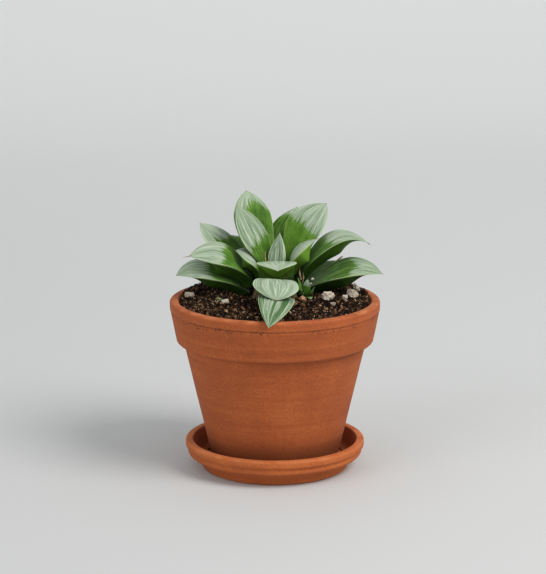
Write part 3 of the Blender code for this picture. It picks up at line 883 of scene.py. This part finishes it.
def leaf_tree():
    """One leaf: a flat sheet bent round into a closed ridged blade, and marked for its colours."""
    takes = {"Geometry": "Geometry", **dict.fromkeys((*LEAF_SIZES, "Seed", "Margin"), "Float")}
    takes.update({"Centre": "Vector", "Rings": "Int", "Around": "Int", "Look": "Material"})
    gives = {"Geometry": "Geometry"}
    tree, inside, outside = new_group("succulent_leaf", "GeometryNodeTree", takes, gives)
    size = {socket.name: Figure(tree, socket) for socket in inside.outputs if socket.name}
    for name in IN_DEGREES:
        size[name] = size[name] * math.radians(1.0)
    for name in IN_MILLIMETRES:
        size[name] = size[name] * MM

    # The sheet's X runs from base to tip, in finer steps near the tip, and its Y once round the leaf.
    leaf = shaped(tree, "MeshGrid", {"Vertices X": size["Rings"], "Vertices Y": size["Around"]})
    length, turn, _ = split(shaped(tree, "InputPosition"))
    t = 1.0 - (0.5 - length).clamp() ** 1.3
    angle = (turn + 0.5) * (2.0 * math.pi)
    across = angle.step("COSINE")
    bulge = angle.step("SINE")
    upper = bulge.step("GREATER_THAN", 0.0001)

    def heading(azimuth, slope):
        flat = slope.step("COSINE")
        east, north = azimuth.step("COSINE") * flat, azimuth.step("SINE") * flat
        return joined(tree, east, north, slope.step("SINE"))

    # The midrib is a curve from the stem to the tip, and the blade's own side and up turn along it.
    tip_azimuth = size["Azimuth"] + size["Turn"]
    level = size["Rise"] * 0.0
    base = size["Centre"] + heading(size["Azimuth"], level) * size["Base radius"]
    base = base + joined(tree, 0.0, 0.0, size["Base height"])
    tip = size["Centre"] + heading(tip_azimuth, level) * size["Tip radius"]
    tip = tip + joined(tree, 0.0, 0.0, size["Tip height"])
    reach = (tip - base).step("LENGTH") * size["Bend"]
    first = base + heading(size["Azimuth"], size["Rise"]) * reach
    second = tip - heading(tip_azimuth, size["Fall"]) * (reach * 0.8)
    u = 1.0 - t
    middle = base * (u * u * u) + first * (u * u * t * 3.0)
    middle = middle + second * (u * t * t * 3.0) + tip * (t * t * t)
    along = (first - base) * (u * u) + (second - first) * (u * t * 2.0) + (tip - second) * (t * t)
    along = along.step("NORMALIZE")
    sideways = heading(tip_azimuth + math.pi / 2.0, level)
    side = (sideways - along * sideways.step("DOT_PRODUCT", along)).step("NORMALIZE")
    up = along.step("CROSS_PRODUCT", side)
    roll = size["Roll"] * t
    cosine, sine = roll.step("COSINE"), roll.step("SINE")
    side, up = side * cosine + up * sine, up * cosine - side * sine

    # Half width and thickness at each share of the length: full in the middle, and shut at both ends.
    before = (t / size["Widest"]).clamp()
    after = ((t - size["Widest"]) / (1.0 - size["Widest"])).clamp()
    share = size["Base share"]
    wide = share + (1.0 - share) * (before * before * (3.0 - before * 2.0))
    wide = wide * (1.0 - after * after) ** size["Point"]
    shut = (t / 0.02).clamp() ** 0.5
    wobble = cloud(joined(tree, t * 5.0, across.step("SIGN"), size["Seed"] * 3.7), 1.0, 1.0)
    wide = wide * size["Half width"] * shut * (0.985 + wobble * 0.03)
    filled = 0.55 + before * before * (3.0 - before * 2.0) * 0.45
    closing = (after * (0.5 * math.pi)).step("COSINE")
    deep = size["Thickness"] * filled * closing * closing * shut

    # The upper face is furrowed in the window, the under face is keeled, and the margin is raised.
    bare = 1.0 - across * across
    window = t.ramp(size["Window"] - 0.12, size["Window"] + 0.12)
    stripes = cloud(joined(tree, across * 6.5, t * 0.8, size["Seed"] * 7.3), 1.0, 2.0) - 0.5
    arch = wide * (window * 0.07 - (1.0 - t) * 0.10)
    relief = stripes * (window * 0.55 + 0.2) * (wide * 0.040)
    edge = bulge.step("ABSOLUTE") * (shut * size["Margin"]) * (1.0 - after**6.0)
    over = (arch + relief) * bare + edge
    ribs = cloud(joined(tree, across * 4.0, t * 1.1, size["Seed"] * 5.1 + 40.0), 1.0, 1.0) - 0.5
    inner = across.step("LESS_THAN", size["Keel"])
    from_keel = (across - size["Keel"]).step("ABSOLUTE")
    from_keel = from_keel / inner.blend(1.0 - size["Keel"], size["Keel"] + 1.0)
    under = deep * (1.0 - from_keel**1.4) + ribs * (wide * 0.04) * bare + edge
    height = upper.blend(under * -1.0, over)
    where = middle + side * (wide * across) + up * height

    marks = (
        ("blade", joined(tree, across, t, upper)),
        ("window", joined(tree, size["Window"], size["Slant"], size["Peak"])),
        ("traits", joined(tree, size["Seed"], size["Veins"], size["Half width"] / MM)),
        # flesh carries each leaf's painted light and its dullness.
        ("flesh", joined(tree, size["Painted light"], size["Dull"], 0.0)),
    )
    for label, value in marks:
        leaf = shaped(
            tree,
            "StoreNamedAttribute",
            {"Geometry": leaf, "Name": label, "Value": value},
            data_type="FLOAT_VECTOR",
            domain="POINT",
        )
    leaf = shaped(tree, "SetPosition", {"Geometry": leaf, "Position": where})
    leaf = shaped(tree, "FlipFaces", {"Mesh": leaf})
    leaf = shaped(tree, "MergeByDistance", {"Geometry": leaf, "Distance": SEAM_GAP})
    leaf = shaped(tree, "SetShadeSmooth", {"Geometry": leaf})
    leaf = shaped(tree, "RealizeInstances", {"Geometry": leaf})
    leaf = shaped(tree, "SetMaterial", {"Geometry": leaf, "Material": size["Look"]})
    plug(leaf, outside.inputs[0])
    return tree


def attribute(tree, name):
    """A piece's own stored vector, as three numbers."""
    node = tree.nodes.new("ShaderNodeAttribute")
    node.attribute_name = name
    return split(Figure(tree, node.outputs["Vector"]))


def leaf_look():
    """Green flesh with painted shade and painted light, a striped pale window with a toothed edge, a
    painted highlight along the margin and a brown point.
    """
    material, tree, shader, place = new_look("leaf_skin", specular=0.08)
    across, t, upper = attribute(tree, "blade")
    window, slant, peak = attribute(tree, "window")
    seed, veins, width = attribute(tree, "traits")
    painted_light, dull, _ = attribute(tree, "flesh")
    upper = upper.ramp(0.35, 0.65)
    streaks = cloud(joined(tree, across * 6.5, t * 0.8, seed * 7.3), 1.0, 2.0)
    fine = cloud(joined(tree, across * width * 1.9, t * 3.0, seed * 3.1 + 9.0), 1.0, 2.0, 0.6)
    mottle = cloud(place, 240.0, 3.0, 0.6)
    grain = cloud(place, 1700.0, 2.0, 0.6)

    # The window's edge: green teeth that point at the tip, each of its own height, in two sizes.
    bare = 1.0 - across * across
    sway = cloud(joined(tree, across * width * 0.35, t * 0.6, seed * 1.9), 1.0, 1.0) - 0.5
    border = window + slant * across + peak * bare + sway * 0.16 - 0.03
    for often, tall in TEETH:
        uneven = cloud(joined(tree, across * width * 0.3, t * 0.8, seed * 2.9 + often), 1.0, 1.0) * 2.0
        tooth_at = across * width * often + uneven + 50.0
        number = tooth_at.step("FLOOR")
        side_of = 1.0 - ((tooth_at - number) * 2.0 - 1.0).step("ABSOLUTE")
        height = cloud(joined(tree, number * 0.73 + 0.37, seed * 1.31, often), 1.0, 0.0)
        border = border + side_of**1.2 * ((height - 0.5) * 3.0 + 0.6).clamp(0.1) * tall
    pale_area = (t - border).ramp(-0.005, 0.006) * upper

    # The flesh: green above, painted shade darkening the underside and the hollow of the base, each
    # leaf's own painted light, and painted light close to the window.
    green = tones(
        mottle * 0.30 + streaks * 0.30 + fine * 0.40,
        (0.38, (0.022, 0.070, 0.008)),
        (0.50, (0.065, 0.160, 0.018)),
        (0.62, (0.135, 0.270, 0.042)),
    )
    # The underside's darker green is painted shade.
    back = tones(
        fine * 0.5 + mottle * 0.5,
        (0.38, (0.010, 0.036, 0.004)),
        (0.62, (0.038, 0.100, 0.011)),
    )
    green = mixed(1.0 - upper, green, back)
    # Each leaf's painted light brightens its green flesh.
    green = mixed(painted_light * (0.55 + mottle * 0.6), green, (0.165, 0.330, 0.035))
    # Painted shade darkening each leaf towards its base.
    base_shade = upper.blend(t.ramp(0.62, 0.10) * 0.8, t.ramp(0.28, 0.0) * 0.8)
    green = mixed(base_shade, green, (0.008, 0.024, 0.003))
    green = mixed(dull, green, green * 0.4)
    green = mixed((grain - 0.5).ramp(-0.05, 0.22) * 0.45, green, green * 0.45)
    lit = (t - border).ramp(-0.06, 0.0) * upper
    green = mixed(lit * 0.22, green, (0.230, 0.380, 0.110))

    # The window: pale stripes, crossed by dark veins and wider dark patches where the leaf has them.
    pale = tones(
        streaks * 0.25 + fine * 0.75,
        (0.36, (0.150, 0.225, 0.130)),
        (0.46, (0.275, 0.350, 0.245)),
        (0.54, (0.345, 0.420, 0.310)),
        (0.66, (0.500, 0.560, 0.455)),
    )
    vein = ((streaks - 0.47).step("ABSOLUTE") * -55.0 + 1.0).clamp()
    second = ((fine - 0.43).step("ABSOLUTE") * -20.0 + 1.0).clamp()
    patches = (0.49 - streaks).ramp(0.0, 0.05) * veins.ramp(0.6, 1.0)
    patches = patches * (0.3 + fine.ramp(0.4, 0.6) * 0.7)
    dark_veins = (vein * 0.9 + second * 0.8 + patches).clamp() * veins
    pale = mixed(dark_veins * 0.9, pale, (0.070, 0.150, 0.050))
    pale = mixed((grain - 0.5).ramp(0.0, 0.25) * 0.25, pale, pale * 0.6)
    pale = mixed(dull, pale, pale * Vector((0.45, 0.55, 0.40)))
    colour = mixed(pale_area, green, pale)
    # A pale line along the margins: painted highlight.
    rim = across.step("ABSOLUTE").ramp(0.955, 0.99) * t.ramp(0.12, 0.4)
    colour = mixed(rim * 0.7, colour, (0.400, 0.520, 0.250))
    colour = mixed(t.ramp(0.985, 0.996) * 0.9, colour, (0.280, 0.125, 0.060))
    plug(colour, shader.inputs["Base Color"])
    plug(0.42 + mottle * 0.14 + pale_area * 0.05, shader.inputs["Roughness"])
    shader.inputs["Subsurface Weight"].default_value = 0.08
    shader.inputs["Subsurface Radius"].default_value = (0.6, 1.0, 0.3)
    shader.inputs["Subsurface Scale"].default_value = 1.5 * MM
    raise_surface(tree, shader, fine * 0.6 + mottle * 0.4, 0.12 * MM, 0.5)
    return material


LEAF_SKIN = leaf_look()
LEAF_TREE = leaf_tree()
ROSETTE_CENTRE = (0.0, 0.0, RIM_Z)


def leaf_piece(node, sizes, centre, mesh, seed, margin):
    """One leaf of the rosette or of the offset, standing for its CAD node."""
    values = {label: float(value) for label, value in zip(LEAF_SIZES, sizes)}
    values.update(mesh, Seed=float(seed), Centre=centre, Look=LEAF_SKIN, Margin=margin)
    seedling = bpy.data.objects.new(node + "_tree", bpy.data.meshes.new(node + "_tree"))
    bpy.context.scene.collection.objects.link(seedling)
    piece = run_tree(seedling, "haworthia_" + node, LEAF_TREE, values)
    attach(piece, "root")
    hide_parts(node)
    return piece


for seed, (node, shape) in enumerate(LEAVES.items(), start=1):
    sizes = shape + LEAF_MARKS[node]
    leaf = leaf_piece(node, sizes, ROSETTE_CENTRE, LEAF_MESH, seed, LEAF_MARGIN)


# ---------------------------------------------------------------- Leaf points
# The dry red-brown point that each leaf ends in, rooted a little way inside the tip.
# On a few of the side leaves it has grown out into a fine bristle that curls up.

# Lengths in millimetres.
POINT_LENGTHS = {"leaf_06": 4.0, "leaf_08": 2.0, "leaf_03": 1.0, "leaf_15": 0.9, "leaf_19": 3.8}
USUAL_POINT = 0.45
POINT_RADIUS, POINT_END = 0.24 * MM, 0.02 * MM
POINT_STEPS = 7
POINT_SIDES = 8
POINT_ROOT = 0.25
POINT_CURL = 0.10


def outward(azimuth, slope):
    """Unit vector at an azimuth and a slope in degrees."""
    a, s = math.radians(azimuth), math.radians(slope)
    return Vector((math.cos(a) * math.cos(s), math.sin(a) * math.cos(s), math.sin(s)))


def tapered_tube(bm, path, radii, sides):
    """A closed tapering tube along a path, whose ends run to a point."""
    rings = []
    for i, (place, radius) in enumerate(zip(path, radii)):
        ahead = path[min(i + 1, len(path) - 1)] - path[max(i - 1, 0)]
        side = ahead.cross(Vector((0.0, 0.0, 1.0)))
        side = (side if side.length > 1e-9 else Vector((1.0, 0.0, 0.0))).normalized()
        up = side.cross(ahead).normalized()
        turns = [2.0 * math.pi * j / sides for j in range(sides)]
        ways = [side * math.cos(a) + up * math.sin(a) for a in turns]
        rings.append([bm.verts.new(place + way * radius) for way in ways])
    for ring, following in zip(rings, rings[1:]):
        for j in range(sides):
            k = (j + 1) % sides
            bm.faces.new((ring[j], ring[k], following[k], following[j]))
    for ring, place in ((rings[0], path[0]), (rings[-1], path[-1])):
        end = bm.verts.new(place)
        for j in range(sides):
            bm.faces.new((end, ring[j], ring[(j + 1) % sides]))


def point_look():
    """Dry horn, streaked from red-brown to straw-coloured."""
    material, tree, shader, place = new_look("dry_point", specular=0.3)
    streaks = dry_grain(tree, shader, place, 900.0, 0.1 * MM)
    colour = tones(
        streaks,
        (0.35, (0.150, 0.050, 0.025)),
        (0.55, (0.330, 0.150, 0.075)),
        (0.70, (0.520, 0.330, 0.190)),
    )
    plug(colour, shader.inputs["Base Color"])
    return material


DRY_POINT = point_look()
bm = bmesh.new()
for node, (azimuth, turn, _, _, tip_radius, tip_height, _, fall, *_) in LEAVES.items():
    reach = outward(azimuth + turn, 0.0) * tip_radius
    tip = Vector(ROSETTE_CENTRE) + (reach + Vector((0.0, 0.0, tip_height))) * MM
    way = outward(azimuth + turn, fall)
    lift = outward(azimuth + turn, fall + 90.0)
    length = POINT_LENGTHS.get(node, USUAL_POINT) * MM
    path, radii = [], []
    for i in range(POINT_STEPS + 1):
        share = i / POINT_STEPS
        ahead = length * ((1.0 + POINT_ROOT) * i / POINT_STEPS - POINT_ROOT)
        path.append(tip + way * ahead + lift * (POINT_CURL * length * share**2))
        radii.append(POINT_RADIUS * (1.0 - share) ** 0.8 + POINT_END)
    tapered_tube(bm, path, radii, POINT_SIDES)
bmesh.ops.recalc_face_normals(bm, faces=bm.faces)
leaf_points = add_piece("leaf_points", bm, DRY_POINT)
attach(leaf_points, "root")


# ---------------------------------------------------------------- Offset
# A young plant grown from beside the stem: five small pointed leaves, green nearly to their tips.
# They have the shape and the skin of the big leaves.

OFFSET_CENTRE = (15.5 * MM, -12.5 * MM, RIM_Z)
OFFSET_LEAVES = {
    "offset_leaf_01": (156, 0, 1.7, 3.4, 4.0, 13.5, 80, 60, 0.40, 1.6, 1.0, 0, 0.40, 0.42, 0, 0.85),
    "offset_leaf_02": (62, 0, 1.6, 3.4, 3.0, 12.5, 82, 60, 0.40, 2.2, 1.2, 0, 0.45, 0.42, 0, 0.85),
    "offset_leaf_03": (352, 0, 1.6, 3.4, 5.2, 9.0, 65, 35, 0.40, 2.2, 1.2, 0, 0.45, 0.42, 0, 0.85),
    "offset_leaf_04": (294, 0, 2.0, 3.4, 7.5, 4.2, 45, -30, 0.45, 1.9, 1.1, 0, 0.45, 0.42, 0, 0.85),
    "offset_leaf_05": (222, 0, 1.6, 3.4, 4.4, 8.5, 65, 30, 0.40, 2.0, 1.1, 0, 0.45, 0.42, 0, 0.85),
}
OFFSET_WINDOWS = (0.9, 0.6, 0.9, 0.8, 0.9)
OFFSET_MARKS = (0, 0, 0.3, 0.1, 0)
OFFSET_MESH = {"Rings": 40, "Around": 33}
OFFSET_MARGIN = 0.12 * MM
OFFSET_SEED = 31
for number, (node, shape) in enumerate(OFFSET_LEAVES.items()):
    sizes = (*shape, OFFSET_WINDOWS[number], *OFFSET_MARKS)
    leaf = leaf_piece(node, sizes, OFFSET_CENTRE, OFFSET_MESH, OFFSET_SEED + number, OFFSET_MARGIN)


# ---------------------------------------------------------------- Dry scraps
# What has died back and dropped: dry scales and shoots between the leaves, a red-tan knob by the
# offset, a shrivelled strip of leaf on the soil and pale flecks. Dark crumbs of soil have fallen into
# the saucer and lie against the pot's rim.

# Each slip: where it starts and ends, and how thick it is, in millimetres above the rim.
SCALES = (
    ((13.6, -8.5, 12.0), (12.2, -8.0, 18.5), 0.45),
    ((14.4, -8.0, 10.5), (15.0, -7.0, 15.5), 0.32),
    ((33.0, 20.5, 16.0), (36.6, 20.5, 19.0), 0.40),
)
SHOOTS = (
    ((-4.6, -4.5, 16.0), (-5.0, -3.5, 25.5), 0.42),
    ((-3.2, -4.5, 16.0), (-3.6, -4.0, 22.5), 0.36),
    ((-5.8, -4.5, 16.0), (-6.0, -4.0, 21.5), 0.34),
)
STRIPS = (
    ((-30.5, -14.0, 3.2), (-24.5, -13.0, 1.8), 0.60),
    ((-29.0, -15.5, 2.2), (-25.5, -12.0, 2.6), 0.40),
)
# Each fleck: its place and its size. The knob: its place and its half sizes.
FLECKS = ((19.4, -12.0, 13.2, 0.75), (18.6, -12.5, 10.8, 0.55), (24.6, -11.0, 4.6, 0.5))
KNOB_PLACE, KNOB_SIZE = (14.2, -17.8, 3.6), (2.0, 1.5, 1.7)
# Each crumb: its place across and along, and its size.
SAUCER_CRUMBS = (
    *((-33.5, 14.5, 1.0), (-35.0, 11.5, 0.8), (-32.5, 17.0, 0.7)),
    *((34.5, 13.0, 1.0), (33.2, 16.0, 0.8), (35.6, 10.0, 0.6)),
)
RIM_CRUMBS = (
    *((-47.2, 17.5, 1.0), (-48.4, 14.8, 0.6), (-45.6, 20.5, 0.8), (46.4, 19.0, 1.2)),
    *((47.8, 16.6, 0.9), (45.0, 22.0, 1.0), (48.9, 13.8, 0.6)),
)
CRUMB_LIFT = 0.7
ABOVE_RIM = Vector((0.0, 0.0, RIM_Z))
SLIP_STEPS = 8
SLIP_SIDES = 10
SLIP_LAYERS = (0.0, 10.0, 20.0)


def scrap_look(name, dark, light):
    """Dry plant matter, from a dark tone to a light one in streaks."""
    material, tree, shader, place = new_look(name, specular=0.2)
    grain = dry_grain(tree, shader, place, 1100.0, 0.15 * MM)
    plug(tones(grain, (0.38, dark), (0.62, light)), shader.inputs["Base Color"])
    return material


def slips(name, pieces, seed, look):
    """Several thin curled slips of dry leaf, each swollen in the middle, as one piece."""
    bm = bmesh.new()
    for number, (start, end, thick) in enumerate(pieces):
        start, end = Vector(start) * MM, Vector(end) * MM
        path, radii = [], []
        for i in range(SLIP_STEPS + 1):
            share = i / SLIP_STEPS
            waves = [Vector((share * 1.6, seed + number, layer)) for layer in SLIP_LAYERS]
            bend = Vector([noise.noise(place) for place in waves])
            path.append(start.lerp(end, share) + bend * (0.16 * (end - start).length) + ABOVE_RIM)
            swell = math.sin(math.pi * (0.15 + 0.85 * share)) ** 0.8
            radii.append((0.12 + 0.88 * swell) * thick * MM)
        tapered_tube(bm, path, radii, SLIP_SIDES)
    bmesh.ops.recalc_face_normals(bm, faces=bm.faces)
    piece = add_piece(name, bm, look)
    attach(piece, "root")


def lumps(name, pieces, slot, look):
    """Several closed dented balls as one piece, each from its middle and its half sizes in metres."""
    bm = bmesh.new()
    for number, (middle, half) in enumerate(pieces):
        own = Vector((3.0 * number + 1.0, 0.0, 0.0))
        for vert in bmesh.ops.create_icosphere(bm, subdivisions=3, radius=1.0)["verts"]:
            dent = 1.0 + 0.35 * noise.fractal(vert.co * 1.6 + own, 0.8, 2.0, 3)
            vert.co = middle + Vector(tuple(a * b for a, b in zip(vert.co, half))) * dent
    piece = add_piece(name, bm, look)
    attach(piece, "root")


dry_scale = scrap_look("dry_scale", (0.080, 0.040, 0.022), (0.380, 0.260, 0.160))
slips("dry_scales", SCALES, 2.0, dry_scale)
dry_shoot = scrap_look("dry_shoot", (0.110, 0.130, 0.035), (0.400, 0.370, 0.170))
slips("dry_shoots", SHOOTS, 8.0, dry_shoot)
dry_leaf = scrap_look("dry_leaf", (0.045, 0.070, 0.020), (0.230, 0.260, 0.110))
slips("dry_strips", STRIPS, 5.0, dry_leaf)

red_tan = scrap_look("red_tan_knob", (0.170, 0.045, 0.022), (0.560, 0.330, 0.190))
knob = (Vector(KNOB_PLACE) * MM + ABOVE_RIM, Vector(KNOB_SIZE) * MM)
lumps("offset_knob", [knob], "offset_leaf", red_tan)

flecks = []
for *place, r in FLECKS:
    flecks.append((Vector(place) * MM + ABOVE_RIM, Vector((r, r * 0.7, r * 0.8)) * MM))
lumps("pale_flecks", flecks, "pumice", PUMICE_LOOK)

crumbs = []
for places, ground in ((SAUCER_CRUMBS, SAUCER_FLOOR), (RIM_CRUMBS, RIM_Z - 0.2 * MM)):
    for x, y, r in places:
        middle = Vector((x, y, ground / MM + CRUMB_LIFT * r)) * MM
        crumbs.append((middle, Vector((r, r * 0.8, r * 0.8)) * MM))
fallen_peat = scrap_look("fallen_peat", (0.010, 0.006, 0.004), (0.070, 0.038, 0.022))
lumps("fallen_crumbs", crumbs, "soil", fallen_peat)


# ---------------------------------------------------------------- Floor, light and camera
# A pale sweep of paper that curves up behind, with painted shade darkening its floor towards the front.
# One large soft light stands at the front right, a weak one at the front left, and the rest of the light
# is a pale sky.

EYE_DISTANCE = 1154.5 * MM
EYE_TILT = 12.52
AIM_HEIGHT = 95.95 * MM
AIM_SIDE = -1.0 * MM
LENS = 138.6
SENSOR_WIDTH = 36.0
NEAR, FAR = 0.01, 20.0
LIGHT_AIM = (0.0, 0.0, 0.06)
# Each light: its place, how wide it is, its power and its colour.
LIGHTS = {
    "key_light": ((0.75, -0.55, 0.95), 0.75, 13.5, (1.0, 0.975, 0.945)),
    "fill_light": ((-0.9, -0.9, 0.6), 0.9, 5.0, (0.97, 0.98, 1.0)),
}
SKY_COLOUR, SKY_STRENGTH = (0.93, 0.95, 0.96, 1.0), 0.62
SWEEP_HALF_WIDTH = 3.0
SWEEP_FRONT, SWEEP_BACK, SWEEP_TOP = -2.2, 1.0, 3.4
SWEEP_BEND = 0.9
SWEEP_STEPS = 16
SWEEP_DROP = 0.0004
SWEEP_NEAR_SHADE_TONE, SWEEP_FAR_TONE = (0.49, 0.498, 0.497), (0.93, 0.94, 0.935)

camera_data = bpy.data.cameras.new("camera")
camera_data.lens = LENS
camera_data.sensor_width = SENSOR_WIDTH
camera_data.clip_start = NEAR
camera_data.clip_end = FAR
camera = bpy.data.objects.new("camera", camera_data)
tilt = math.radians(EYE_TILT)
camera.location = (
    AIM_SIDE,
    -EYE_DISTANCE * math.cos(tilt),
    AIM_HEIGHT + EYE_DISTANCE * math.sin(tilt),
)
camera.rotation_euler = (math.radians(90.0 - EYE_TILT), 0.0, 0.0)
bpy.context.scene.collection.objects.link(camera)
bpy.context.scene.camera = camera


for name, (place, width, power, colour) in LIGHTS.items():
    data = bpy.data.lights.new(name, "AREA")
    data.shape = "DISK"
    data.size = width
    data.energy = power
    data.color = colour
    lamp = bpy.data.objects.new(name, data)
    lamp.location = place
    lamp.rotation_euler = (Vector(LIGHT_AIM) - Vector(place)).to_track_quat("-Z", "Y").to_euler()
    bpy.context.scene.collection.objects.link(lamp)

world = bpy.data.worlds.new("pale_sky")
world.use_nodes = True
world.node_tree.nodes["Background"].inputs["Color"].default_value = SKY_COLOUR
world.node_tree.nodes["Background"].inputs["Strength"].default_value = SKY_STRENGTH
bpy.context.scene.world = world
bpy.context.scene.view_settings.view_transform = "Standard"


def sweep():
    """A floor that curves up into a wall behind, with painted shade darkening it towards the front."""
    bm = bmesh.new()
    bend = SWEEP_BEND
    section = [(SWEEP_FRONT, 0.0), (SWEEP_BACK, 0.0)]
    for i in range(1, SWEEP_STEPS + 1):
        a = math.pi / 2 / SWEEP_STEPS * i
        section.append((SWEEP_BACK + bend * math.sin(a), bend - bend * math.cos(a)))
    section.append((SWEEP_BACK + bend, SWEEP_TOP))
    sides = (-SWEEP_HALF_WIDTH, SWEEP_HALF_WIDTH)
    rows = [[bm.verts.new((x, y, z - SWEEP_DROP)) for x in sides] for y, z in section]
    for low, high in zip(rows, rows[1:]):
        bm.faces.new((low[0], low[1], high[1], high[0]))
    material, _, shader, place = new_look("pale_sweep", roughness=0.85, specular=0.2)
    # Painted shade: darker towards the front, the paper's own pale tone behind.
    away = split(place)[1].ramp(-0.5, SWEEP_BACK + bend)
    tint = mixed(away, SWEEP_NEAR_SHADE_TONE, SWEEP_FAR_TONE)
    tint = mixed(cloud(place, 3.0, 2.0) * 0.06, tint, (0.70, 0.71, 0.71))
    plug(tint, shader.inputs["Base Color"])
    return add_piece("floor", bm, material)


sweep()
